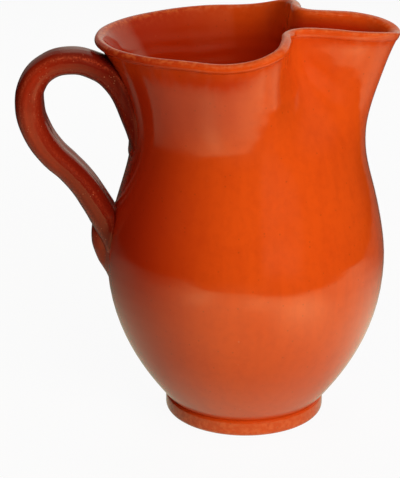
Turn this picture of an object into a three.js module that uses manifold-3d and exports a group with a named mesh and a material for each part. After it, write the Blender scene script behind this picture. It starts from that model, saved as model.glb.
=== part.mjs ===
// A glazed earthenware jug. The belly and neck are thrown on a flat foot, the rolled lip is
// pinched into a wide pouring spout, and a pulled strap handle is pressed on at neck and belly.
// Millimetres, +Z up. The origin is the centre of the foot's underside and the spout points to +X.
import * as THREE from 'three';
import { mergeVertices } from 'three/addons/utils/BufferGeometryUtils.js';
import Module from 'manifold-3d';

const wasm = await Module();
wasm.setup();

// Thrown shape: outside radii, and the height of each level above the one below it.
const seat_radius = 39.6;
const belly_radius = 70.3;
const neck_radius = 57.2;
const rim_radius = 73;
const foot_height = 9;
const belly_rise = 74;
const neck_rise = 71.5;
const rim_rise = 44;
const wall = 5.5;
const joint_gap = 0.3;

// Foot: a flange that stands out past the wall, with rounded edges.
const foot_flange = 1.4;
const foot_round = 3;

// How long the wall keeps its direction at the foot, belly, neck and rim.
const foot_lead_out = 6;
const foot_lead_up = 12;
const belly_lead_low = 38;
const belly_lead_high = 26;
const neck_lead_low = 22;
const neck_lead_high = 16;
const rim_lead = 14;
const rim_slope = 0.52;

// Rolled lip: a rounded band round the mouth, a little proud of the wall.
const lip_height = 6.5;
const lip_proud = 2;
const lip_undercut = 0.3;

// Mouth seen from above, along the wall's outside at the rim: an oval with its widest place at
// the axis, then a shoulder on each side, the pinched waist, the swell of the spout and its nose.
const mouth_back = 73.5;
const mouth_half_width = 65.5;
const shoulder_forward = 18;
const shoulder_half_width = 56;
const waist_forward = 29;
const waist_half_width = 21;
const channel_draw = 1.6;
const flank_draw = 1;
const flank_fill = 2;
const swell_length = 25;
const swell_half_width = 21.5;
const nose_length = 20.5;
const nose_round = 5;
const nose_half_width = 12.5;

// Heights gained above the rim, and how far below the rim the pinch still shows.
const side_rise = 1.5;
const shoulder_rise = 6;
const pinch_rise = 9;
const swell_rise = 8;
const tip_rise = 3.5;
const pull_below_neck = 23.5;
const pull_power = 2;
const spout_above_neck = 12.5;
const spout_half_angle = THREE.MathUtils.degToRad(38);

// Pulled strap handle. It is set a little off the line of the spout and leans with its height.
const strap_width = 22;
const strap_thickness = 13;
const ridge_height = 1;
const handle_skew = THREE.MathUtils.degToRad(10);
const handle_lean = 0.1;
const upper_root_length = 42;
const lower_root_length = 41;
const lean_rise = 50;

// Stations of the strap: out from the neck with the drop below the rim, then out from the belly
// with the rise above its widest level.
const tongue_sink = 5;
const tongue_drop = 18;
const tongue_lift = 4;
const lift_out = 9.5;
const lift_drop = 19.7;
const climb_out = 19;
const climb_drop = 12.8;
const crown_out = 30;
const crown_drop = 10.2;
const turn_out = 41;
const turn_drop = 13.4;
const bow_out = 51;
const bow_drop = 31;
const slope_out = 40.5;
const slope_drop = 57;
const return_out = 14;
const return_rise = 45;
const landing_out = 5.5;
const landing_rise = 32;
const press_out = 1.5;
const press_rise = 18;
const tail_sink = 0.5;
const tail_rise = 5;
const tail_end_sink = 8;
const tail_end_drop = 11;

// Facets.
const foot_segments = 56;
const front_segments = 44;
const back_segments = 24;
const front_half_angle = THREE.MathUtils.degToRad(84);
const belly_levels = 8;
const neck_levels = 7;
const rim_levels = 7;
const spout_levels = 8;
const round_steps = 3;
const strap_steps = 40;

const belly_height = foot_height + belly_rise;
const neck_height = belly_height + neck_rise;
const rim_height = neck_height + rim_rise;
const lip_seat = rim_height - lip_height;
const lip_middle = rim_height - lip_height / 2;
const pull_start = neck_height - pull_below_neck;
const spout_low = neck_height + spout_above_neck;

// The line of the strap's middle, from the neck over the crown and the bow down to its tail.
// Each point is its distance out from the axis and its height.
const strap_points = [
  [neck_radius - tongue_sink, neck_height - tongue_drop],
  [neck_radius, neck_height + tongue_lift],
  [neck_radius + lift_out, rim_height - lift_drop],
  [neck_radius + climb_out, rim_height - climb_drop],
  [neck_radius + crown_out, rim_height - crown_drop],
  [neck_radius + turn_out, rim_height - turn_drop],
  [neck_radius + bow_out, rim_height - bow_drop],
  [neck_radius + slope_out, rim_height - slope_drop],
  [belly_radius + return_out, belly_height + return_rise],
  [belly_radius + landing_out, belly_height + landing_rise],
  [belly_radius + press_out, belly_height + press_rise],
  [belly_radius - tail_sink, belly_height + tail_rise],
  [belly_radius - tail_end_sink, belly_height - tail_end_drop],
];
const lean_level = belly_height + lean_rise;

// The thrown outside line as three smooth pieces: foot to belly, belly to neck, neck to rim.
const foot_to_belly = new THREE.CubicBezierCurve(
  new THREE.Vector2(seat_radius, foot_height),
  new THREE.Vector2(seat_radius + foot_lead_out, foot_height + foot_lead_up),
  new THREE.Vector2(belly_radius, belly_height - belly_lead_low),
  new THREE.Vector2(belly_radius, belly_height));
const belly_to_neck = new THREE.CubicBezierCurve(
  new THREE.Vector2(belly_radius, belly_height),
  new THREE.Vector2(belly_radius, belly_height + belly_lead_high),
  new THREE.Vector2(neck_radius, neck_height - neck_lead_low),
  new THREE.Vector2(neck_radius, neck_height));
const neck_to_rim = new THREE.CubicBezierCurve(
  new THREE.Vector2(neck_radius, neck_height),
  new THREE.Vector2(neck_radius, neck_height + neck_lead_high),
  new THREE.Vector2(rim_radius - rim_lead * rim_slope, rim_height - rim_lead),
  new THREE.Vector2(rim_radius, rim_height));

// Finds where a rising quantity along a curve reaches a value, by halving the interval.
function whereReached(value, from, to, quantity) {
  let low = from;
  let high = to;
  for (let i = 0; i < 40; i += 1) {
    const middle = (low + high) / 2;
    if (quantity(middle) < value) low = middle;
    else high = middle;
  }
  return (low + high) / 2;
}

function thrownRadius(height) {
  if (height >= rim_height) return rim_radius + (height - rim_height) * rim_slope;
  let curve = neck_to_rim;
  if (height < belly_height) curve = foot_to_belly;
  else if (height < neck_height) curve = belly_to_neck;
  const place = whereReached(height, 0, 1, (t) => curve.getPoint(t).y);
  return curve.getPoint(place).x;
}

// One side of the mouth's plan, from the spout's tip to the back. The third number of a point is
// the height gained there.
const swell_forward = waist_forward + swell_length;
const tip_forward = swell_forward + nose_length;
const mouth_side = [
  new THREE.Vector3(tip_forward, 0, tip_rise),
  new THREE.Vector3(tip_forward - nose_round, nose_half_width, (tip_rise + swell_rise) / 2),
  new THREE.Vector3(swell_forward, swell_half_width, swell_rise),
  new THREE.Vector3((swell_forward + waist_forward) / 2,
    (swell_half_width + waist_half_width) / 2 - channel_draw, pinch_rise),
  new THREE.Vector3(waist_forward, waist_half_width, pinch_rise),
  new THREE.Vector3((waist_forward + shoulder_forward) / 2 - flank_draw,
    (waist_half_width + shoulder_half_width) / 2 + flank_fill, pinch_rise),
  new THREE.Vector3(shoulder_forward, shoulder_half_width, shoulder_rise),
];
for (const degrees of [90, 112, 135, 158, 180]) {
  const turn = THREE.MathUtils.degToRad(degrees);
  const rise = side_rise * Math.sin(turn) ** 4;
  mouth_side.push(new THREE.Vector3(mouth_back * Math.cos(turn), mouth_half_width * Math.sin(turn), rise));
}
const mouth_other = mouth_side.slice(1, -1).reverse().map((p) => new THREE.Vector3(p.x, -p.y, p.z));
const mouth_line = new THREE.CatmullRomCurve3([...mouth_side, ...mouth_other], true, 'centripetal');

// The mouth's radius and gained height in a direction; both sides are alike.
const mouth_known = new Map();
function mouthAt(angle) {
  const turn = Math.abs(Math.atan2(Math.sin(angle), Math.cos(angle)));
  const key = turn.toFixed(5);
  if (!mouth_known.has(key)) {
    const place = whereReached(turn, 0, 0.5, (t) => {
      const point = mouth_line.getPoint(t);
      return Math.abs(Math.atan2(point.y, point.x));
    });
    const found = mouth_line.getPoint(place);
    mouth_known.set(key, { radius: Math.hypot(found.x, found.y), rise: found.z });
  }
  return mouth_known.get(key);
}

// How far the clay at a height follows the mouth's plan: not at all low down, fully at the rim.
function pullAt(height) {
  return Math.max(0, (height - pull_start) / (rim_height - pull_start)) ** pull_power;
}

function wallPoint(angle, height) {
  const radius = thrownRadius(height) + pullAt(height) * (mouthAt(angle).radius - rim_radius);
  return new THREE.Vector2(radius * Math.cos(angle), radius * Math.sin(angle));
}

// Moves a thrown solid to the pinched shape. Each point keeps its depth below the outside.
function pinch(geometry) {
  const position = geometry.getAttribute('position');
  const small_turn = 0.004;
  for (let i = 0; i < position.count; i += 1) {
    const x = position.getX(i);
    const y = position.getY(i);
    const z = position.getZ(i);
    const radius = Math.hypot(x, y);
    if (z <= pull_start || radius < wall) continue;
    const angle = Math.atan2(y, x);
    const depth = thrownRadius(z) - radius;
    const here = wallPoint(angle, z);
    const along = wallPoint(angle + small_turn, z).sub(wallPoint(angle - small_turn, z)).normalize();
    const rise = pullAt(z) * mouthAt(angle).rise;
    position.setXYZ(i, here.x - along.y * depth, here.y + along.x * depth, z + rise);
  }
  return geometry;
}

// Turns an outline of radius and height into a ring of clay, with finer facets round the spout.
function thrown(outline) {
  const segments = front_segments + back_segments;
  const geometry = new THREE.LatheGeometry(outline, segments).rotateX(Math.PI / 2);
  const position = geometry.getAttribute('position');
  const even_step = (2 * Math.PI) / segments;
  const front_step = (2 * front_half_angle) / front_segments;
  const back_step = (2 * Math.PI - 2 * front_half_angle) / back_segments;
  for (let i = 0; i < position.count; i += 1) {
    const radius = Math.hypot(position.getX(i), position.getY(i));
    const count = Math.round(Math.atan2(position.getY(i), position.getX(i)) / even_step);
    const past_front = Math.max(0, Math.abs(count) - front_segments / 2);
    const turn = (Math.abs(count) - past_front) * front_step + past_front * back_step;
    position.setX(i, radius * Math.cos(turn));
    position.setY(i, radius * Math.sin(turn) * Math.sign(count));
  }
  return geometry;
}

// Makes a solid from a closed geometry, with its faces outward.
function toSolid(geometry) {
  const bare = geometry.clone();
  bare.deleteAttribute('normal');
  bare.deleteAttribute('uv');
  const merged = mergeVertices(bare, 1e-4);
  const index = merged.getIndex().array;
  const corners = [];
  for (let i = 0; i < index.length; i += 3) {
    const [a, b, c] = [index[i], index[i + 1], index[i + 2]];
    if (a !== b && b !== c && c !== a) corners.push(a, b, c);
  }
  const vertProperties = new Float32Array(merged.getAttribute('position').array);
  const make = (list) => new wasm.Manifold(
    new wasm.Mesh({ numProp: 3, vertProperties, triVerts: new Uint32Array(list) }));
  const solid = make(corners);
  return solid.volume() > 0 ? solid : make(corners.toReversed());
}

function toGeometry(solid) {
  const mesh = solid.getMesh();
  const geometry = new THREE.BufferGeometry();
  geometry.setAttribute('position', new THREE.BufferAttribute(new Float32Array(mesh.vertProperties), 3));
  geometry.setIndex(new THREE.BufferAttribute(new Uint32Array(mesh.triVerts), 1));
  return geometry;
}

function levels(from, to, count) {
  return Array.from({ length: count + 1 }, (_, i) => from + ((to - from) * i) / count);
}

// Foot: a flat disc with a rounded flange. Its top is the floor inside the jug.
function makeFoot() {
  const inner = seat_radius + foot_flange - foot_round;
  const outline = new THREE.Path();
  outline.moveTo(0, 0);
  outline.lineTo(inner, 0);
  outline.absarc(inner, foot_round, foot_round, -Math.PI / 2, 0, false);
  outline.absarc(inner, foot_height - foot_round, foot_round, 0, Math.PI / 2, false);
  outline.lineTo(0, foot_height);
  const geometry = new THREE.LatheGeometry(outline.getPoints(round_steps), foot_segments);
  return toSolid(geometry.rotateX(Math.PI / 2));
}

// A wedge round the spout from its lowest edge upwards, wider by a clearance.
function spoutWedge(clearance) {
  const back = -clearance / Math.sin(spout_half_angle);
  const reach = 2 * rim_radius;
  const side = new THREE.Vector2(reach * Math.cos(spout_half_angle), reach * Math.sin(spout_half_angle));
  const shape = new THREE.Shape([
    new THREE.Vector2(back, 0),
    new THREE.Vector2(back + side.x, -side.y),
    new THREE.Vector2(2 * reach, 0),
    new THREE.Vector2(back + side.x, side.y),
  ]);
  const geometry = new THREE.ExtrudeGeometry(shape, { depth: rim_height, bevelEnabled: false });
  return toSolid(geometry.translate(0, 0, spout_low - clearance));
}

// Body: the thrown wall from the foot to the lip's seat, left open for the spout.
const wall_heights = [
  ...levels(foot_height, belly_height, belly_levels),
  ...levels(belly_height, neck_height, neck_levels).slice(1),
  ...levels(neck_height, lip_seat - joint_gap, rim_levels).slice(1),
];
function makeBody() {
  const outline = [
    ...wall_heights.map((z) => new THREE.Vector2(thrownRadius(z), z)),
    ...wall_heights.toReversed().map((z) => new THREE.Vector2(thrownRadius(z) - wall, z)),
  ];
  outline.push(outline[0].clone());
  return toSolid(thrown(outline)).subtract(spoutWedge(joint_gap));
}

// Lip: the rolled band that runs round the mouth from one pinch to the other.
function makeLip() {
  const outside = (z) => thrownRadius(z) + lip_proud;
  const inside = (z) => thrownRadius(z) - wall;
  const outline = new THREE.Path();
  outline.moveTo(inside(lip_seat), lip_seat);
  outline.lineTo(thrownRadius(lip_seat) + lip_undercut, lip_seat);
  outline.quadraticCurveTo(outside(lip_seat), lip_seat, outside(lip_middle), lip_middle);
  outline.quadraticCurveTo(outside(rim_height), rim_height, rim_radius - wall / 2, rim_height);
  outline.quadraticCurveTo(inside(rim_height), rim_height, inside(lip_middle), lip_middle);
  outline.closePath();
  return toSolid(thrown(outline.getPoints(round_steps))).subtract(spoutWedge(joint_gap));
}

// Spout: the wall between the two pinches, drawn up to a plain rounded edge.
function makeSpout() {
  const edge_low = rim_height - wall / 2;
  const edge_middle = thrownRadius(edge_low) - wall / 2;
  const heights = levels(spout_low, edge_low, spout_levels);
  const turns = levels(0, Math.PI, round_steps + 1).slice(1, -1);
  const outline = [
    ...heights.map((z) => new THREE.Vector2(thrownRadius(z), z)),
    ...turns.map((turn) => new THREE.Vector2(
      edge_middle + (wall / 2) * Math.cos(turn), edge_low + (wall / 2) * Math.sin(turn))),
    ...heights.toReversed().map((z) => new THREE.Vector2(thrownRadius(z) - wall, z)),
  ];
  outline.push(outline[0].clone());
  return toSolid(thrown(outline)).intersect(spoutWedge(0));
}

// The whole outside of the pot as a filled solid, grown by the joint gap, for fitting the strap.
function makeFilledPot() {
  const outline = [
    new THREE.Vector2(0, foot_height),
    ...wall_heights.map((z) => new THREE.Vector2(thrownRadius(z) + joint_gap, z)),
    new THREE.Vector2(thrownRadius(lip_seat) + lip_proud + joint_gap, lip_seat - joint_gap),
    new THREE.Vector2(thrownRadius(lip_middle) + lip_proud + joint_gap, lip_middle),
    new THREE.Vector2(rim_radius + joint_gap, rim_height + joint_gap),
    new THREE.Vector2(0, rim_height + joint_gap),
  ];
  return toSolid(pinch(toGeometry(toSolid(thrown(outline)))));
}

// Section of the strap: across its width, and from its outer face with two ridges to its inside.
function strapSection() {
  const side = strap_width / 2;
  const deep = strap_thickness / 2;
  const section = new THREE.Shape();
  section.moveTo(-side, 0);
  section.bezierCurveTo(-side, -deep, -side * 0.75, -deep - ridge_height, -side * 0.45, -deep);
  section.quadraticCurveTo(0, -deep + ridge_height, side * 0.45, -deep);
  section.bezierCurveTo(side * 0.75, -deep - ridge_height, side, -deep, side, 0);
  section.bezierCurveTo(side, deep, side * 0.6, deep, 0, deep);
  section.bezierCurveTo(-side * 0.6, deep, -side, deep, -side, 0);
  return section;
}

// Leans what is drawn in the plane of the loop and turns it to the handle's side of the pot.
function placeHandle(geometry) {
  const position = geometry.getAttribute('position');
  for (let i = 0; i < position.count; i += 1) {
    position.setY(i, position.getY(i) + handle_lean * (position.getZ(i) - lean_level));
  }
  return geometry.rotateZ(Math.PI + handle_skew);
}

const strap_line = new THREE.CatmullRomCurve3(
  strap_points.map(([out, up]) => new THREE.Vector3(out, 0, up)), false, 'centripetal');

// A box over one end of the strap, from a cut square across it to past its end.
function rootBox(cut_length, toward_end, clearance) {
  const cut_share = cut_length / strap_line.getLength();
  const along = strap_line.getTangentAt(cut_share);
  const box_length = Math.max(upper_root_length, lower_root_length) + strap_width;
  const geometry = new THREE.BoxGeometry(box_length, 2 * strap_width, 3 * strap_thickness);
  geometry.translate(toward_end * (box_length / 2 - clearance), 0, 0);
  geometry.rotateY(-Math.atan2(along.z, along.x));
  geometry.translate(...strap_line.getPointAt(cut_share).toArray());
  return toSolid(placeHandle(geometry));
}

// The strap is cut into its two pressed roots and the free handle between them.
const strap_geometry = new THREE.ExtrudeGeometry(strapSection(), {
  extrudePath: strap_line, steps: strap_steps, curveSegments: round_steps, bevelEnabled: false });
const strap = toSolid(placeHandle(strap_geometry)).subtract(makeFilledPot());
const upper_cut = upper_root_length;
const lower_cut = strap_line.getLength() - lower_root_length;
const upper_root = strap.intersect(rootBox(upper_cut, -1, 0));
const lower_root = strap.intersect(rootBox(lower_cut, 1, 0));
const handle = strap.subtract(rootBox(upper_cut, -1, joint_gap)).subtract(rootBox(lower_cut, 1, joint_gap));

const jug = new THREE.Group();
jug.name = 'jug';

function addPiece(name, geometry, color, roughness) {
  const mesh = new THREE.Mesh(geometry, new THREE.MeshStandardMaterial({ color, roughness, metalness: 0 }));
  mesh.name = name;
  jug.add(mesh);
}

addPiece('foot', toGeometry(makeFoot()), 0xb04a24, 0.25);
addPiece('body', pinch(toGeometry(makeBody())), 0xb8431a, 0.18);
addPiece('lip', pinch(toGeometry(makeLip())), 0xa83e1c, 0.18);
addPiece('spout', pinch(toGeometry(makeSpout())), 0xb8431a, 0.18);
addPiece('handle', toGeometry(handle), 0x7a2a16, 0.2);
addPiece('handle_root_upper', toGeometry(upper_root), 0x7a2a16, 0.2);
addPiece('handle_root_lower', toGeometry(lower_root), 0x7a2a16, 0.2);

export default jug;
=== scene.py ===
"""A glazed earthenware jug: a thrown pot with a pinched spout, standing on a flat foot, with a
pulled strap handle pressed on at neck and belly. Metres, +Z up, the spout points to +X."""

import math

import bmesh
import bpy
import numpy as np
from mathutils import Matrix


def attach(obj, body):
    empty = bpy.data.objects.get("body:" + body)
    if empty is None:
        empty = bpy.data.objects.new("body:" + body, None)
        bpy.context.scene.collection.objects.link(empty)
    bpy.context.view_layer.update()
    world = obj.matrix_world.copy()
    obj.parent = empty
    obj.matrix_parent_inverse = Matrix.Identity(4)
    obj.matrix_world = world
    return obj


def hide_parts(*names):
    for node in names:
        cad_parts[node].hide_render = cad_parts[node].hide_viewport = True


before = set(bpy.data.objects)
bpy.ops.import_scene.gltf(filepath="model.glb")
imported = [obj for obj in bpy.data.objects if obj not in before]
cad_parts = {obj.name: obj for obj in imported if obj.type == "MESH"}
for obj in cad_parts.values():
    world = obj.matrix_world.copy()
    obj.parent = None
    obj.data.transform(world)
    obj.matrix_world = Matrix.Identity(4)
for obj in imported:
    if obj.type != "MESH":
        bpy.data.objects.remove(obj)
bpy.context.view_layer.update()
scene = bpy.context.scene
scene.view_settings.view_transform = "Standard"


# Camera.
# A long lens a little above the mouth looks down on the jug, with the handle on the left and the
# spout on the right.
camera_place = (0.0415, -0.8666, 0.4035)
camera_turn = (math.radians(70.247), 0, math.radians(4.27))
camera_lens = 135.89
camera_sensor = 36
bpy.ops.object.select_all(action="DESELECT")
bpy.ops.object.camera_add(location=camera_place, rotation=camera_turn)
camera = bpy.context.object
camera.name = "camera"
camera.data.lens = camera_lens
camera.data.sensor_width = camera_sensor
scene.camera = camera


# Table and studio.
# A white table top carries the jug. Light falls on it from the right; what the glaze mirrors of it
# is painted light that fades toward its edges. A white wall stands behind, and the room in front is
# dark: the glaze mirrors all three.
table_half_width = 1.2
table_front = -1.2
table_back = 1.8
table_white = 0.75
table_glow = 0.94
mirrored_glow = 0.95
mirrored_tint = (1, 0.97, 0.72)
wall_glow = 0.7
wall_tint = (1, 0.97, 0.84)
ceiling_glow = 0.2
room_fill = 0.02
lamp_distance = 1.0
lamp_aim = 0.1

# Painted pools of light on the table, seen only in the glaze: x, y, half width, half length and
# strength.
painted_light_pools = [
    (0.165, -0.175, 0.14, 0.14, 1.5),
    (-0.165, -0.30, 0.09, 0.16, 0.6),
    (0.14, 0.0, 0.16, 0.20, 0.25),
    (0.0, -0.045, 0.08, 0.04, 0.5),
    (0.0, -0.55, 0.40, 0.55, 0.16),
    (-0.05, -0.25, 0.18, 0.13, 0.2),
    (0.08, -0.29, 0.12, 0.10, 0.7),
]


def link(tree, output, target):
    tree.links.new(output, target)


def set_or_link(tree, socket, value):
    if isinstance(value, tuple):
        socket.default_value = (*value, 1)
    elif isinstance(value, (int, float)):
        socket.default_value = value
    else:
        link(tree, value, socket)


def node(tree, kind, **settings):
    made = tree.nodes.new("ShaderNode" + kind)
    for name, value in settings.items():
        setattr(made, name, value)
    return made


def maths(tree, operation, first, second=0):
    made = node(tree, "Math", operation=operation)
    set_or_link(tree, made.inputs[0], first)
    set_or_link(tree, made.inputs[1], second)
    return made.outputs[0]


def product(tree, first, *others):
    for other in others:
        first = maths(tree, "MULTIPLY", first, other)
    return first


def length(tree, x, y):
    return maths(tree, "SQRT", maths(tree, "ADD", product(tree, x, x), product(tree, y, y)))


def ramped(tree, value, low, high, at_low, at_high):
    made = node(tree, "MapRange", interpolation_type="SMOOTHSTEP")
    for name, number in (("From Min", low), ("From Max", high), ("To Min", at_low), ("To Max", at_high)):
        made.inputs[name].default_value = number
    link(tree, value, made.inputs["Value"])
    return made.outputs["Result"]


def mixed(tree, share, first, second):
    made = node(tree, "Mix", data_type="RGBA")
    set_or_link(tree, made.inputs[0], share)
    set_or_link(tree, made.inputs[6], first)
    set_or_link(tree, made.inputs[7], second)
    return made.outputs[2]


def parted(tree, coordinates):
    made = node(tree, "SeparateXYZ")
    link(tree, node(tree, "TexCoord").outputs[coordinates], made.inputs[0])
    return made.outputs["X"], made.outputs["Y"], made.outputs["Z"]


def new_material(name):
    material = bpy.data.materials.new(name)
    material.use_nodes = True
    tree = material.node_tree
    return material, tree, tree.nodes["Principled BSDF"], tree.nodes["Material Output"]


def painted_pool_of_light(tree, across, along, pool):
    x, y, half_wide, half_long, strength = pool
    aside = maths(tree, "DIVIDE", maths(tree, "SUBTRACT", across, x), half_wide)
    ahead = maths(tree, "DIVIDE", maths(tree, "SUBTRACT", along, y), half_long)
    return ramped(tree, length(tree, aside, ahead), 0, 1, strength, 0)


bpy.ops.object.select_all(action="DESELECT")
bpy.ops.mesh.primitive_plane_add(size=1, location=(0, (table_front + table_back) / 2, 0))
table = bpy.context.object
table.name = "table"
bpy.ops.transform.resize(value=(2 * table_half_width, table_back - table_front, 1))
bpy.ops.object.transform_apply(location=True, rotation=True, scale=True)
table_paint, tree, shader, output = new_material("table_paint")
shader.inputs["Base Color"].default_value = (table_white, table_white, table_white, 1)
shader.inputs["Roughness"].default_value = 0.9
shader.inputs["Specular IOR Level"].default_value = 0

# What the glaze mirrors of the table is painted light, an emission seen only by glossy and
# transmission rays: a lit field with slanting front and right edges, dimmer to the left and behind
# the jug, with painted pools of light on it and a painted shadow of the jug under it.
across, along, _ = parted(tree, "Object")
front_edge = ramped(tree, across, 0.02, 0.28, -0.48, -0.28)
front_fade = ramped(tree, maths(tree, "SUBTRACT", along, front_edge), -0.05, 0.05, 0, mirrored_glow)
right_edge = ramped(tree, along, -0.30, 0.05, 0.33, 0.55)
right_fade = ramped(tree, maths(tree, "SUBTRACT", across, right_edge), -0.06, 0.02, 1, 0)
left_fade = ramped(tree, across, -0.65, -0.30, 0, 1)
back_fade = ramped(tree, along, 0, 0.25, 1, 0.15)
slanted = maths(tree, "SUBTRACT", across, maths(tree, "MULTIPLY", along, 0.7))
slant_fade = ramped(tree, slanted, -0.30, 0.05, 0.36, 1)
painted_table_light = product(tree, front_fade, right_fade, left_fade, back_fade, slant_fade)
for pool in painted_light_pools:
    painted_table_light = maths(tree, "ADD", painted_table_light, painted_pool_of_light(tree, across, along, pool))
# The jug's painted shadow on the mirrored table.
painted_jug_shadow = ramped(tree, length(tree, across, along), 0.04, 0.14, 0.58, 1)
mirrored = node(tree, "Emission")
mirrored.inputs["Color"].default_value = (*mirrored_tint, 1)
link(tree, product(tree, painted_table_light, painted_jug_shadow), mirrored.inputs["Strength"])
glow = node(tree, "Emission")
glow.inputs["Strength"].default_value = 1

rays = node(tree, "LightPath").outputs
seen = node(tree, "MixShader")
link(tree, maths(tree, "MULTIPLY", rays["Is Camera Ray"], table_glow), seen.inputs[0])
link(tree, shader.outputs[0], seen.inputs[1])
link(tree, glow.outputs[0], seen.inputs[2])
shown = node(tree, "MixShader")
link(tree, maths(tree, "MAXIMUM", rays["Is Glossy Ray"], rays["Is Transmission Ray"]), shown.inputs[0])
link(tree, seen.outputs[0], shown.inputs[1])
link(tree, mirrored.outputs[0], shown.inputs[2])
link(tree, shown.outputs[0], output.inputs["Surface"])
table.data.materials.append(table_paint)

# The room: white walls behind and at the side and a faint ceiling, which only the glaze mirrors.
world = bpy.data.worlds.new("studio")
scene.world = world
world.use_nodes = True
tree = world.node_tree
room = tree.nodes["Background"]
rays = node(tree, "LightPath").outputs
right, back, up = parted(tree, "Generated")
beside = maths(tree, "ADD", back, maths(tree, "MULTIPLY", right, 0.12))
side_wall = product(tree, ramped(tree, beside, 0.38, 0.68, 0, wall_glow), ramped(tree, up, 0.08, 0.22, 0, 1))
back_wall = product(tree, ramped(tree, back, 0.62, 0.84, 0.01, wall_glow),
                    ramped(tree, right, -0.78, -0.48, 0.25, 1))
walls = product(tree, maths(tree, "MAXIMUM", back_wall, side_wall),
                ramped(tree, right, -0.30, -0.05, 0.3, 1))
overhead = maths(tree, "ADD", up, maths(tree, "MULTIPLY", right, 0.45))
ceiling = ramped(tree, overhead, 0.62, 0.92, 0, ceiling_glow)
room_light = product(tree, maths(tree, "MAXIMUM", walls, ceiling), rays["Is Glossy Ray"])
room_light = maths(tree, "MAXIMUM", room_light, rays["Is Camera Ray"])
room_light = maths(tree, "ADD", room_light, maths(tree, "MULTIPLY", rays["Is Diffuse Ray"], room_fill))
link(tree, room_light, room.inputs["Strength"])
link(tree, mixed(tree, rays["Is Camera Ray"], wall_tint, (1, 1, 1)), room.inputs["Color"])


def soft_light(name, turn, lift, size, power, colour):
    turn = math.radians(turn)
    lift = math.radians(lift)
    reach = lamp_distance * math.cos(lift)
    place = (reach * math.sin(turn), -reach * math.cos(turn), lamp_aim + lamp_distance * math.sin(lift))
    bpy.ops.object.select_all(action="DESELECT")
    bpy.ops.object.light_add(type="AREA", location=place, rotation=(math.pi / 2 - lift, 0, turn))
    lamp = bpy.context.object
    lamp.name = name
    lamp.data.shape = "DISK"
    lamp.data.size = size
    lamp.data.energy = power
    lamp.data.color = colour
    lamp.visible_glossy = False
    return lamp


key_light = soft_light("key_light", turn=33, lift=19, size=0.6, power=7.25, colour=(1, 1, 1))
key_light.data.shape = "RECTANGLE"
key_light.data.size_y = 0.85
soft_light("top_light", turn=0, lift=65, size=0.5, power=2.0, colour=(1, 0.76, 0.56))
soft_light("left_light", turn=-62, lift=22, size=0.6, power=0.4, colour=(1, 0.92, 0.84))
soft_light("back_light", turn=190, lift=35, size=0.6, power=3.2, colour=(1, 1, 1))


# Foot.
# A flat disc of the same clay, cut from the wheel with the pot: it stands out a little past the
# wall, its edges are rounded by hand and its underside is scraped slightly hollow. The glaze is
# rubbed thin below, and painted shade darkens it and weakens its reflection where the wall begins.
foot_radius = 0.041
foot_height = 0.009
foot_sides = 192
foot_top_round = 0.0020
foot_low_round = 0.0026
foot_ring_width = 0.007
foot_hollow = 0.0012
foot_rubbed_to = 0.0062
foot_covered_from = 0.0086
foot_scuffed_to = 0.0008
foot_scuff_end = 0.0030
foot_shade_start = 0.0080
foot_shade_full = 0.0088


def pick(piece, kind, test):
    shape = bmesh.from_edit_mesh(piece.data)
    for group in (shape.verts, shape.edges, shape.faces):
        for element in group:
            element.select = False
    for element in getattr(shape, kind):
        if test(element):
            element.select = True
    shape.select_flush_mode()
    bmesh.update_edit_mesh(piece.data)


bpy.ops.object.select_all(action="DESELECT")
bpy.ops.mesh.primitive_cylinder_add(vertices=foot_sides, radius=foot_radius, depth=foot_height,
                                    location=(0, 0, foot_height / 2))
foot = bpy.context.object
foot.name = "foot_disc"
bpy.ops.object.transform_apply(location=True, rotation=True, scale=True)
bpy.ops.object.mode_set(mode="EDIT")
bpy.ops.mesh.select_mode(type="EDGE")
pick(foot, "edges", lambda edge: all(v.co.z > foot_height * 0.9 for v in edge.verts))
bpy.ops.mesh.bevel(offset=foot_top_round, segments=8, profile=0.5)
pick(foot, "edges", lambda edge: all(v.co.z < foot_height * 0.1 for v in edge.verts))
bpy.ops.mesh.bevel(offset=foot_low_round, segments=6, profile=0.5)
bpy.ops.mesh.select_mode(type="FACE")
pick(foot, "faces", lambda face: face.normal.z < -0.99 and len(face.verts) > 20)
bpy.ops.mesh.inset(thickness=foot_ring_width)
bpy.ops.mesh.inset(thickness=foot_hollow * 2, depth=-foot_hollow)
bpy.ops.object.mode_set(mode="OBJECT")
bpy.ops.object.shade_smooth_by_angle(angle=math.radians(35))


def points_of(piece):
    return np.array([v.co[:] for v in piece.data.vertices])


def mark(piece, name, shares):
    layer = piece.data.attributes.new(name, "FLOAT", "POINT")
    layer.data.foreach_set("value", np.clip(shares, 0, 1))


def eased(value, low, high):
    share = np.clip((value - low) / (high - low), 0, 1)
    return share * share * (3 - 2 * share)


def peaked(value, middle, width):
    return np.exp(-((value - middle) / width) ** 2)


def marked(tree, name):
    return node(tree, "Attribute", attribute_name=name).outputs["Fac"]


def grain(tree, scale, detail, stretch=(1, 1, 1)):
    mapping = node(tree, "Mapping")
    mapping.inputs["Scale"].default_value = stretch
    link(tree, node(tree, "TexCoord").outputs["Object"], mapping.inputs["Vector"])
    made = node(tree, "TexNoise")
    made.inputs["Scale"].default_value = scale
    made.inputs["Detail"].default_value = detail
    link(tree, mapping.outputs["Vector"], made.inputs["Vector"])
    return made.outputs["Fac"]


def dots(tree, scale, size, share_kept):
    made = node(tree, "TexVoronoi")
    made.inputs["Scale"].default_value = scale
    link(tree, node(tree, "TexCoord").outputs["Object"], made.inputs["Vector"])
    channels = node(tree, "SeparateColor")
    link(tree, made.outputs["Color"], channels.inputs[0])
    kept = maths(tree, "LESS_THAN", channels.outputs[0], share_kept)
    return product(tree, ramped(tree, made.outputs["Distance"], 0.4 * size, size, 1, 0), kept)


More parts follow.
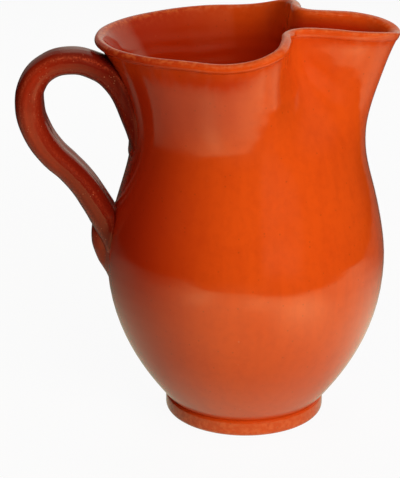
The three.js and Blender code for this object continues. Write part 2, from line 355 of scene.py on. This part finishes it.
def relief(tree, height, depth, below=None, invert=False):
    made = node(tree, "Bump", invert=invert)
    made.inputs["Distance"].default_value = depth
    link(tree, height, made.inputs["Height"])
    if below is not None:
        link(tree, below, made.inputs["Normal"])
    return made.outputs[0]


def glaze(name, main, deep, shaded, shade_share, inner, thin, speck_scale, pit_scale, pit_size, pit_share,
          dull, ring_depth, peel_depth, bending, tint):
    iron_red = (0.16, 0.016, 0.004)
    bare_clay = (0.86, 0.32, 0.14)
    pit_depth = 0.0001
    shade_start = 0.004
    shade_full = -0.058
    ring_pitch = 900
    ring_wander = 9
    material, tree, shader, _ = new_material(name)
    x, _, z = parted(tree, "Object")

    # Clouds, runs and fine mottle of thicker glaze, then painted shade: on the side toward the handle,
    # where the piece is marked for it, and inside.
    clouds = ramped(tree, grain(tree, 11, 3), 0.35, 0.70, 0, 0.30)
    runs = ramped(tree, grain(tree, 1, 4, (170, 170, 14)), 0.42, 0.68, 0, 0.22)
    mottle = ramped(tree, grain(tree, 260, 3), 0.40, 0.72, 0, 0.22)
    colour = mixed(tree, clouds, main, deep)
    colour = mixed(tree, runs, colour, deep)
    colour = mixed(tree, mottle, colour, deep)
    colour = mixed(tree, ramped(tree, x, shade_start, shade_full, 0, shade_share), colour, shaded)
    colour = mixed(tree, marked(tree, "shade"), colour, shaded)
    colour = mixed(tree, marked(tree, "inside"), colour, inner)

    # Painted shade in hollows, broken into streaks, then worn edges, iron specks and small pits down to
    # the clay.
    shade_streaks = ramped(tree, grain(tree, 1, 3, (420, 420, 90)), 0.38, 0.56, 0.75, 1)
    painted_hollow_shade = product(tree, marked(tree, "painted_hollow_shade"), shade_streaks)
    colour = mixed(tree, product(tree, painted_hollow_shade, 0.6), colour, deep)
    # Pale worn specks on marked edges; on the handle's finger lines they also paint highlights.
    wear_and_glint_specks = ramped(tree, grain(tree, speck_scale, 4), 0.40, 0.66, 0.1, 1)
    wear_and_glint = product(tree, marked(tree, "edge"), wear_and_glint_specks)
    colour = mixed(tree, wear_and_glint, colour, thin)
    colour = mixed(tree, product(tree, dots(tree, 420, 0.26, 0.12), 0.22), colour, iron_red)
    clusters = ramped(tree, grain(tree, 75, 2), 0.42, 0.60, 0.1, 1)
    pits = product(tree, dots(tree, pit_scale, pit_size, pit_share), clusters)
    colour = mixed(tree, product(tree, pits, 0.5), colour, bare_clay)
    link(tree, colour, shader.inputs["Base Color"])

    # Gloss: duller where the glaze is worn or pitted, and with its reflection turned down where painted
    # shade lies in the hollows.
    gloss = ramped(tree, grain(tree, 90, 4), 0.3, 0.7, 0.07 + dull, 0.13 + dull)
    gloss = maths(tree, "ADD", gloss, product(tree, maths(tree, "ADD", wear_and_glint, pits), 0.12))
    link(tree, gloss, shader.inputs["Roughness"])
    link(tree, ramped(tree, painted_hollow_shade, 0, 1, 0.5, 0.02), shader.inputs["Specular IOR Level"])
    shader.inputs["IOR"].default_value = bending
    shader.inputs["Specular Tint"].default_value = (*tint, 1)

    # Relief: wandering throwing rings, mostly inside, then the glaze's orange peel and the pits.
    level = maths(tree, "ADD", product(tree, z, ring_pitch), product(tree, grain(tree, 14, 2), ring_wander))
    ring_share = maths(tree, "ADD", product(tree, marked(tree, "inside"), 0.9), 0.08)
    normal = relief(tree, product(tree, maths(tree, "SINE", level), ring_share), ring_depth)
    normal = relief(tree, grain(tree, 520, 3), peel_depth, normal)
    normal = relief(tree, pits, pit_depth, normal, invert=True)
    link(tree, normal, shader.inputs["Normal"])
    return material


glaze_orange = glaze(
    "glaze_orange",
    main=(0.84, 0.090, 0.006),
    deep=(0.66, 0.054, 0.004),
    shaded=(0.54, 0.026, 0.003),
    shade_share=1,
    inner=(0.53, 0.026, 0.002),
    thin=(0.86, 0.17, 0.04),
    speck_scale=420,
    pit_scale=120,
    pit_size=0.075,
    pit_share=0.16,
    dull=0,
    ring_depth=0.00012,
    peel_depth=0.00002,
    bending=1.5,
    tint=(1, 0.98, 0.64),
)
foot_heights = points_of(foot)[:, 2]
rubbed = 1 - eased(foot_heights, foot_rubbed_to, foot_covered_from)
scuffed = 1 - eased(foot_heights, foot_scuffed_to, foot_scuff_end)
mark(foot, "edge", 0.7 * rubbed + 0.3 * scuffed)
# Painted shade where the wall begins: darker glaze with a weaker reflection.
mark(foot, "painted_hollow_shade", 0.5 * eased(foot_heights, foot_shade_start, foot_shade_full))
foot.data.materials.append(glaze_orange)
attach(foot, "root")
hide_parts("foot")


# Wall.
# The pot is thrown in one piece: belly, neck and flared mouth, with the lip rolled outward. While
# the clay is soft, the mouth is pinched on both sides and the front is drawn out to a spout.
rim_radius = 0.073
rim_height = 0.1985
flare_start = 0.131
pinch_start = 0.141
pinch_full = 0.1845
late_pinch = 0.05
late_pinch_start = 0.165
fold_edge_soft = (-0.002, 0.010)
fold_melts = (0.004, 0.030)
fold_soft_rounds = 400
fold_melt_rounds = 2600
throat_level = 0.1725
throat_below = 0.026
throat_above = 0.0135
throat_swell = 0.003
throat_half_angle = math.radians(40)
shoulder_level = 0.1216
shoulder_spread = 0.011
shoulder_swell = 0.001
roll_start = 0.185
lip_end = 47
lip_end_fade = 3
spout_roll = 0.25
spout_side = 38
spout_side_fade = 12
spout_bead = 0.0012
spout_bead_heights = (0.1930, 0.1960)
spout_bead_depths = (0.0017, 0.0040)
past_rim_up = 0.02
past_rim_out = 0.0104
floor_middle = 0.0055
outer_face_depth = 0.001
inside_depths = (0.0015, 0.0036)
bowl_dark_from = 0.001
bowl_dark_full = 0.022
spout_dark_later = 0.0012
spout_dark_sooner = 0.017
rim_wear_level = 0.0003
rim_wear_width = 0.0012
neck_shade_starts = (0.150, 0.172)
neck_shade_ends = (0.1915, 0.1935)
neck_shade_side = (-0.008, 0.022)
lip_band = 0.1893
lip_band_width = 0.005
lip_band_side = (-0.006, 0.018)
lip_seam = 0.1940
lip_seam_width = 0.0016
foot_corner = 0.0086
foot_corner_width = 0.0009
spin_steps = 180
front_crowding = 0.45
small_turn = 0.004
line_detail = 8
mouth_detail = 32
mouth_steps = 720

# The thrown outline from the middle of the underside, up the outside, over the lip and down the
# inside: radius and height of each knot, then of the control points before and after it.
wall_line = [
    ((0, 0.0080), (0, 0.0080), (0.013, 0.0080)),
    ((0.0388, 0.0082), (0.026, 0.0082), (0.0393, 0.0084)),
    ((0.0408, 0.0094), (0.0402, 0.0087), (0.0466, 0.0175)),
    ((0.0710, 0.083), (0.0710, 0.0435), (0.0710, 0.109)),
    ((0.0572, 0.1510), (0.0572, 0.1290), (0.0572, 0.1650)),
    ((0.0707, 0.1943), (0.0640, 0.1815), (0.0713, 0.1943)),
    ((0.0734, 0.1965), (0.0734, 0.1950), (0.0734, 0.1978)),
    ((0.0714, 0.1987), (0.0725, 0.1987), (0.0702, 0.1987)),
    ((0.0682, 0.1966), (0.0691, 0.1981), (0.0610, 0.1845)),
    ((0.0517, 0.1545), (0.0517, 0.1690), (0.0517, 0.1325)),
    ((0.0648, 0.083), (0.0648, 0.109), (0.0648, 0.047)),
    ((0.0362, 0.0160), (0.0425, 0.0235), (0.0328, 0.0120)),
    ((0.0230, 0.0104), (0.0280, 0.0106), (0.0150, 0.0102)),
    ((0, 0.0100), (0.0080, 0.0100), (0, 0.0100)),
]
outside_first_knot = 1
outside_last_knot = 5

# The mouth as pinched, seen from above: x, y and rise above the rim, from the tip of the spout round
# the far pinch and the bowl and back by the near pinch.
mouth_nose = [(0.0747, 0, 0.0032), (0.0700, 0.0130, 0.0052), (0.054, 0.0226, 0.0073)]
mouth_near_pinch = [(0.0390, 0.0222, 0.0083), (0.0275, 0.0236, 0.0087), (0.0222, 0.0300, 0.0088),
                    (0.0218, 0.0425, 0.0085), (0.0170, 0.0590, 0.0058)]
mouth_far_pinch = [(0.0405, 0.0215, 0.0083), (0.0300, 0.0218, 0.0087), (0.0250, 0.0280, 0.0088),
                   (0.0240, 0.0405, 0.0085), (0.0180, 0.0577, 0.0058)]
mouth_back = 0.0747
mouth_half_width = 0.0655
side_rise = 0.0015
mouth_bowl = []
for bowl_turn in (90, 112, 135, 158, 180):
    cosine = math.cos(math.radians(bowl_turn))
    sine = math.sin(math.radians(bowl_turn))
    mouth_bowl.append((mouth_back * cosine, mouth_half_width * sine, side_rise * sine ** 4))
mouth = [*mouth_nose, *mouth_far_pinch, *mouth_bowl]
mouth += [(x, -y, z) for x, y, z in [*mouth_nose[1:], *mouth_near_pinch, *mouth_bowl[:-1]]][::-1]


def drawn_line(points, closed, resolution):
    bpy.ops.object.select_all(action="DESELECT")
    bpy.ops.curve.primitive_bezier_curve_add(location=(0, 0, 0))
    guide = bpy.context.object
    guide.data.dimensions = "3D"
    spline = guide.data.splines[0]
    spline.bezier_points.add(len(points) - 2)
    spline.use_cyclic_u = closed
    spline.resolution_u = resolution
    for knot, point in zip(spline.bezier_points, points):
        knot.handle_left_type = knot.handle_right_type = "FREE" if len(point) == 9 else "AUTO"
        knot.co = point[0:3]
        if len(point) == 9:
            knot.handle_left = point[3:6]
            knot.handle_right = point[6:9]
    return guide


drawn_line([(co[0], 0, co[1], left[0], 0, left[1], right[0], 0, right[1]) for co, left, right in wall_line],
           False, line_detail)
bpy.ops.object.convert(target="MESH")
wall = bpy.context.object
wall.name = "pot_wall"
outside = points_of(wall)[outside_first_knot * line_detail:outside_last_knot * line_detail + 1]
outside_heights = np.append(outside[:, 2], [rim_height, rim_height + past_rim_up])
outside_radii = np.append(outside[:, 0], [rim_radius, rim_radius + past_rim_out])

drawn_line(mouth, True, mouth_detail)
bpy.ops.object.convert(target="MESH")
mouth_points = points_of(bpy.context.object)
bpy.ops.object.delete()
full_turn = 2 * math.pi
mouth_turns = np.linspace(-math.pi, math.pi, mouth_steps + 1)
found_turns = np.arctan2(mouth_points[:, 1], mouth_points[:, 0])
found_reach = np.hypot(mouth_points[:, 0], mouth_points[:, 1])
mouth_reach = np.interp(mouth_turns, found_turns, found_reach, period=full_turn)
mouth_rises = np.interp(mouth_turns, found_turns, mouth_points[:, 2], period=full_turn)


def relaxed(reach, rounds):
    for _ in range(rounds):
        line = reach[:-1] * np.stack([np.cos(mouth_turns[:-1]), np.sin(mouth_turns[:-1])])
        line = line / 2 + (np.roll(line, 1, axis=1) + np.roll(line, -1, axis=1)) / 4
        slack = np.interp(mouth_turns, np.arctan2(line[1], line[0]), np.hypot(*line), period=full_turn)
        reach = np.maximum(mouth_reach, slack)
    return reach


soft_reach = relaxed(mouth_reach, fold_soft_rounds)
softest_reach = relaxed(soft_reach, fold_melt_rounds)
bowl_reach = mouth_back * mouth_half_width / np.hypot(mouth_half_width * np.cos(mouth_turns),
                                                      mouth_back * np.sin(mouth_turns))


def thrown_radius(height):
    return np.interp(height, outside_heights, outside_radii)


def round_mouth(turn, values):
    return np.interp(turn, mouth_turns, values, period=full_turn)


def wall_radius(turn, height):
    depth = rim_height - height
    bowl = round_mouth(turn, bowl_reach)
    reach = round_mouth(turn, mouth_reach)
    reach = reach + (round_mouth(turn, soft_reach) - reach) * eased(depth, *fold_edge_soft)
    reach = reach + (round_mouth(turn, softest_reach) - reach) * eased(depth, *fold_melts)
    pinch = (reach - bowl) * ((1 - late_pinch) * eased(height, pinch_start, pinch_full)
                              + late_pinch * eased(height, late_pinch_start, rim_height))
    flare = np.clip((height - flare_start) / (rim_height - flare_start), 0, 1.1) ** 3
    front = np.cos(np.clip(np.abs(turn) / throat_half_angle, 0, 1) * math.pi / 2) ** 2
    throat_reach = np.where(height < throat_level, throat_below, throat_above)
    throat = throat_swell * front * np.exp(-0.5 * ((height - throat_level) / throat_reach) ** 2)
    shoulder = shoulder_swell * np.clip(np.cos(turn), 0, 1) ** 2
    shoulder = shoulder * np.exp(-0.5 * ((height - shoulder_level) / shoulder_spread) ** 2)
    return thrown_radius(height) + flare * (bowl - rim_radius) + pinch + throat + shoulder


bpy.ops.object.select_all(action="DESELECT")
wall.select_set(True)
bpy.context.view_layer.objects.active = wall
bpy.ops.object.mode_set(mode="EDIT")
bpy.ops.mesh.select_all(action="SELECT")
bpy.ops.mesh.spin(steps=spin_steps, angle=full_turn, center=(0, 0, 0), axis=(0, 0, 1))
bpy.ops.mesh.select_all(action="SELECT")
bpy.ops.mesh.remove_doubles(threshold=1e-6)
bpy.ops.mesh.normals_make_consistent(inside=False)
bpy.ops.object.mode_set(mode="OBJECT")

# Each point keeps its depth behind the outer face, measured square to the pinched wall, and more of
# them are crowded round to the front, where the folds are.
spun = points_of(wall)
radius = np.hypot(spun[:, 0], spun[:, 1])
turn = np.arctan2(spun[:, 1], spun[:, 0])
turn = turn - front_crowding * np.sin(turn)
height = spun[:, 2]
degrees_off = np.degrees(np.abs(turn))
depth = thrown_radius(height) - radius
rolled = spout_roll + (1 - spout_roll) * np.clip((degrees_off - lip_end) / lip_end_fade, 0, 1)
depth = np.where((depth < 0) & (height > roll_start), depth * rolled, depth)
in_spout = 1 - np.clip((degrees_off - spout_side) / spout_side_fade, 0, 1)
bead = spout_bead * in_spout * eased(height, *spout_bead_heights) * eased(depth, *spout_bead_depths)
depth = depth + bead
ahead = wall_radius(turn + small_turn, height)
behind = wall_radius(turn - small_turn, height)
along_wall = np.stack([ahead * np.cos(turn + small_turn) - behind * np.cos(turn - small_turn),
                       ahead * np.sin(turn + small_turn) - behind * np.sin(turn - small_turn)])
along_wall = along_wall / np.hypot(along_wall[0], along_wall[1])
here = wall_radius(turn, height)
rise = eased(height, flare_start, rim_height) * round_mouth(turn, mouth_rises)
pinched = np.stack([here * np.cos(turn) - along_wall[1] * depth, here * np.sin(turn) + along_wall[0] * depth,
                    height + rise], axis=1)
level_floor = np.stack([radius * np.cos(turn), radius * np.sin(turn), height], axis=1)
shaped = np.where((radius < floor_middle)[:, None], level_floor, pinched)
wall.data.vertices.foreach_set("co", shaped.ravel())
wall.data.update()

# Glaze: painted shade inside, worn thin on the rim, and painted shade with a weaker reflection in
# the seam under the lip roll, in a band under the lip and in the corner above the foot. Painted shade
# also darkens the neck toward the handle, most of all in that band under the lip.
below_rim = rim_height - height
dark_from = bowl_dark_from + spout_dark_later * in_spout
dark_full = bowl_dark_full - spout_dark_sooner * in_spout
outer_face = depth < outer_face_depth
on_neck = eased(height, *neck_shade_starts) * (1 - eased(height, *neck_shade_ends)) * outer_face
shade_side = 1 - eased(shaped[:, 0], *neck_shade_side)
under_lip = peaked(height, lip_band, lip_band_width) * outer_face
under_lip = under_lip * (1 - eased(shaped[:, 0], *lip_band_side))
seam_shade = peaked(height, lip_seam, lip_seam_width) * outer_face
corner_shade = peaked(height, foot_corner, foot_corner_width)
mark(wall, "inside", eased(depth, *inside_depths) * eased(below_rim, dark_from, dark_full))
mark(wall, "edge", 0.8 * peaked(below_rim, rim_wear_level, rim_wear_width))
mark(wall, "shade", 0.6 * on_neck * shade_side + 0.4 * under_lip)
mark(wall, "painted_hollow_shade", seam_shade + under_lip + 0.6 * corner_shade)
smooth = wall.modifiers.new("smooth", "SUBSURF")
smooth.levels = smooth.render_levels = 1
bpy.ops.object.modifier_apply(modifier="smooth")
bpy.ops.object.shade_smooth()
wall.data.materials.append(glaze_orange)
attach(wall, "root")
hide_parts("body", "lip", "spout")


# Handle.
# A strap of clay pulled by hand, so that finger lines run along its sides and its outer face. It
# stands on the side away from the spout, a little askew, and both ends go into pressed clay. Its
# glaze is the wall's in darker colours, which paint the shade of the jug's body on it, and it is
# worn along the finger lines, where pale specks also paint highlights.
strap_half_width = 0.0108
strap_half_deep = 0.0062
handle_turn = math.pi + math.radians(10)
handle_lean = 0.1
lean_level = 0.133
section_detail = 6
strap_detail = 16
skirt_reach = 0.003
skirt_rise = 0.0065
skirt_edge = 0.0007
skirt_curve = 2.5
skirt_sides = 0.6
deepest_press = 0.0035
inner_face_width = 2.9
outer_face_width = 2.2
bow_starts = (0.078, 0.106)
shade_clearance = (0.003, 0.022)
shade_heights = (0.115, 0.150)

# The strap's middle line from neck to belly: distance out, height, fullness and twist in degrees.
strap_line = [
    (0.0517, 0.1405, 0.84, 0), (0.0566, 0.1585, 0.94, 0), (0.0662, 0.1790, 0.98, 0),
    (0.0762, 0.1868, 1, 0), (0.0872, 0.1894, 1, 0), (0.0984, 0.1864, 1, 2),
    (0.1056, 0.1782, 1.07, 4), (0.1074, 0.1660, 1.13, 5), (0.1044, 0.1540, 1.12, 6),
    (0.0972, 0.1420, 1.08, 6), (0.0892, 0.1337, 1.04, 6), (0.0826, 0.1257, 1.06, 6),
    (0.0770, 0.1166, 1.09, 6), (0.0730, 0.1090, 1.1, 6), (0.0692, 0.1000, 1.05, 5),
    (0.0658, 0.0905, 0.94, 5), (0.0620, 0.0815, 0.8, 5),
]

# The strap's section in shares of its half width and half depth, and the knots on it where the
# finger lines run and where the inner and outer faces have their middle.
section_shares = [
    (-1, 0), (-0.975, -0.34), (-0.76, -0.78), (-0.40, -1), (0, -0.97), (0.40, -1), (0.76, -0.78),
    (0.975, -0.34), (1, 0), (0.975, 0.34), (0.76, 0.76), (0.40, 0.96), (0, 1), (-0.40, 0.96),
    (-0.76, 0.76), (-0.975, 0.34),
]
inner_line_knots = (1.5, 6.5)
outer_line_knots = (9.5, 14.5)
line_width = 0.3
inner_middle_knot = 4
outer_middle_knot = 12
section = drawn_line([(strap_half_width * wide, strap_half_deep * deep, 0) for wide, deep in section_shares],
                     True, section_detail)
section.name = "section"
handle = drawn_line([(out, 0, up) for out, up, _, _ in strap_line], False, strap_detail)
handle.name = "handle_strap"
for knot, (_, _, fullness, twist) in zip(handle.data.splines[0].bezier_points, strap_line):
    knot.radius = fullness
    knot.tilt = math.radians(twist)
handle.data.twist_mode = "MINIMUM"
handle.data.bevel_mode = "OBJECT"
handle.data.bevel_object = section
handle.data.use_fill_caps = True
bpy.ops.object.convert(target="MESH")
handle = bpy.context.object
bpy.ops.object.select_all(action="DESELECT")
section.select_set(True)
bpy.context.view_layer.objects.active = section
bpy.ops.object.delete()
handle.select_set(True)
bpy.context.view_layer.objects.active = handle


def set_on_side(points):
    leaning = points[:, 1] + handle_lean * (points[:, 2] - lean_level)
    cosine = math.cos(handle_turn)
    sine = math.sin(handle_turn)
    return np.stack([cosine * points[:, 0] - sine * leaning, sine * points[:, 0] + cosine * leaning,
                     points[:, 2]], axis=1)


def from_axis(points):
    return np.hypot(points[:, 0], points[:, 1])


def wall_behind(points):
    return wall_radius(np.arctan2(points[:, 1], points[:, 0]), points[:, 2])


# Glaze: worn on the finger lines, where the pale specks also paint highlights; painted shade on the
# inner and outer faces and toward both ends, and painted shade with a weaker reflection at the
# upper end, where the strap comes close to the neck.
strap = points_of(handle)
round_section = np.arange(len(strap)) % (section_detail * len(section_shares)) / section_detail
inner_lines = sum(peaked(round_section, knot, line_width) for knot in inner_line_knots)
outer_lines = sum(peaked(round_section, knot, line_width) for knot in outer_line_knots)
on_inner_face = peaked(round_section, inner_middle_knot, inner_face_width)
on_outer_face = peaked(round_section, outer_middle_knot, outer_face_width)
bow_side = eased(strap[:, 0], *bow_starts) * (1 - 0.8 * on_outer_face) * (1 - 0.9 * on_inner_face)
unspread = set_on_side(strap)
clear = from_axis(unspread) - wall_behind(unspread)
near_neck = (1 - eased(clear, *shade_clearance)) * eased(strap[:, 2], *shade_heights)
mark(handle, "edge", 0.35 * inner_lines + 0.8 * outer_lines)
mark(handle, "inside", 1 - bow_side)
mark(handle, "painted_hollow_shade", 0.8 * near_neck)

# Both ends spread to a skirt near the wall and sink only a little into it.
lift = np.clip((clear - skirt_edge) / skirt_rise, 0, 1)
toward_side = np.clip(np.abs(strap[:, 1]) / (skirt_sides * strap_half_width), 0, 1)
strap[:, 1] += np.sign(strap[:, 1]) * skirt_reach * (1 - lift) ** skirt_curve * toward_side
placed = set_on_side(strap)
kept = np.maximum(from_axis(placed), wall_behind(placed) - deepest_press)
placed[:, 0:2] *= (kept / from_axis(placed))[:, None]
handle.data.vertices.foreach_set("co", placed.ravel())
handle.data.update()
bpy.ops.object.mode_set(mode="EDIT")
bpy.ops.mesh.select_all(action="SELECT")
bpy.ops.mesh.remove_doubles(threshold=1e-6)
bpy.ops.mesh.normals_make_consistent(inside=False)
bpy.ops.object.mode_set(mode="OBJECT")
bpy.ops.object.shade_smooth()
# The wall's glaze in darker colours: painted shade on the strap and its roots.
glaze_dark = glaze(
    "glaze_dark",
    main=(0.45, 0.028, 0.006),
    deep=(0.16, 0.008, 0.003),
    shaded=(0.29, 0.018, 0.005),
    shade_share=0.25,
    inner=(0.20, 0.010, 0.003),
    thin=(0.52, 0.070, 0.024),
    speck_scale=1100,
    pit_scale=600,
    pit_size=0.21,
    pit_share=0.6,
    dull=0.07,
    ring_depth=0,
    peel_depth=0.00007,
    bending=1.43,
    tint=(1, 0.66, 0.36),
)
handle.data.materials.append(glaze_dark)
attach(handle, "root")
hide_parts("handle")


# Handle roots.
# Soft clay worked with the thumb round both ends of the strap: above, a low collar that runs out in
# a tail down the neck, and below, a thick pad that thins to a point on the belly. Both are pressed
# against the wall and glazed like the strap.
pad_columns = 72
pad_rows = 96
pad_edge_depth = 0.0006
pad_back = 0.002
pad_spread = 0.004
pad_dark = 0.2
upper_field = 0.024
upper_low = 0.126
upper_high = 0.190
upper_tip = 0.138
upper_shift = 0.002
upper_half_width = 0.0122
upper_collar = 0.0018
upper_taper = 0.022
upper_top_taper = 0.020
collar_starts = (upper_tip - 0.003, upper_tip + 0.004)
collar_fades = (0.178, 0.186)
tail_start = 0.128
tail_thick = 0.0009
tail_width = 0.0032
lower_field = 0.022
lower_low = 0.070
lower_high = 0.122
lower_tip = 0.0728
lower_shift = 0.0035
lower_half_width = 0.0090
lower_thick = 0.0097
lower_taper = 0.018
lower_rise = 0.0285
lower_rise_curve = 1.15
lower_top_fades = (0.1045, 0.1125)
crown_squareness = 3.5
crown_curve = 0.7
fillet_thick = 0.0016
fillet_overlap = 0.001
fillet_starts = (lower_tip - 0.002, lower_tip + 0.006)
fillet_fades = (0.104, 0.115)


def pressed_clay(name, half_wide, low, high, thickness):
    bpy.ops.object.select_all(action="DESELECT")
    bpy.ops.mesh.primitive_grid_add(x_subdivisions=pad_columns, y_subdivisions=pad_rows, size=2)
    piece = bpy.context.object
    piece.name = name
    flat = points_of(piece)
    aside = half_wide * flat[:, 0]
    level = low + (high - low) * (flat[:, 1] + 1) / 2
    turn = handle_turn + aside / wall_radius(math.pi, level)
    turn = np.where(turn > math.pi, turn - full_turn, turn)
    reach = wall_radius(turn, level) + thickness(aside, level)
    placed = np.stack([reach * np.cos(turn), reach * np.sin(turn), level], axis=1)
    piece.data.vertices.foreach_set("co", placed.ravel())
    piece.data.update()
    backing = piece.modifiers.new("backing", "SOLIDIFY")
    backing.thickness = pad_back
    backing.offset = -1
    bpy.ops.object.modifier_apply(modifier="backing")
    bpy.ops.object.shade_smooth_by_angle(angle=math.radians(60))
    return piece


def upper_thickness(aside, level):
    side = np.abs(aside - upper_shift)
    width = upper_half_width * np.sqrt(np.clip((level - upper_tip) / upper_taper, 0, 1))
    width = width * np.sqrt(np.clip((upper_high - level) / upper_top_taper, 0, 1))
    collar = upper_collar * (1 - eased(side - width, 0, pad_spread)) * (1 - eased(level, *collar_fades))
    collar = collar * eased(level, *collar_starts)
    tail = tail_thick * np.exp(-0.5 * (side / tail_width) ** 2) * eased(level, tail_start, upper_tip)
    return np.maximum(collar, tail) - pad_edge_depth


def lower_thickness(aside, level):
    side = np.abs(aside + lower_shift)
    width = lower_half_width * np.sqrt(np.clip((level - lower_tip) / lower_taper, 1e-4, 1))
    swell = np.sin(np.clip((level - lower_tip) / lower_rise, 0, 1) * math.pi / 2) ** lower_rise_curve
    swell = swell * (1 - eased(level, *lower_top_fades))
    crown = np.clip(1 - (side / width) ** crown_squareness, 0, 1) ** crown_curve
    fillet = fillet_thick * (1 - eased(side - width, -fillet_overlap, pad_spread))
    fillet = fillet * eased(level, *fillet_starts) * (1 - eased(level, *fillet_fades))
    return np.maximum(lower_thick * swell * crown, fillet) - pad_edge_depth


root_upper = pressed_clay("root_upper", upper_field, upper_low, upper_high, upper_thickness)
# A little painted shade over the pressed clay, as at the strap's ends.
mark(root_upper, "inside", np.full(len(root_upper.data.vertices), pad_dark))
root_upper.data.materials.append(glaze_dark)
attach(root_upper, "root")
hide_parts("handle_root_upper")

root_lower = pressed_clay("root_lower", lower_field, lower_low, lower_high, lower_thickness)
# A little painted shade over the pressed clay, as at the strap's ends.
mark(root_lower, "inside", np.full(len(root_lower.data.vertices), pad_dark))
root_lower.data.materials.append(glaze_dark)
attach(root_lower, "root")
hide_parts("handle_root_lower")
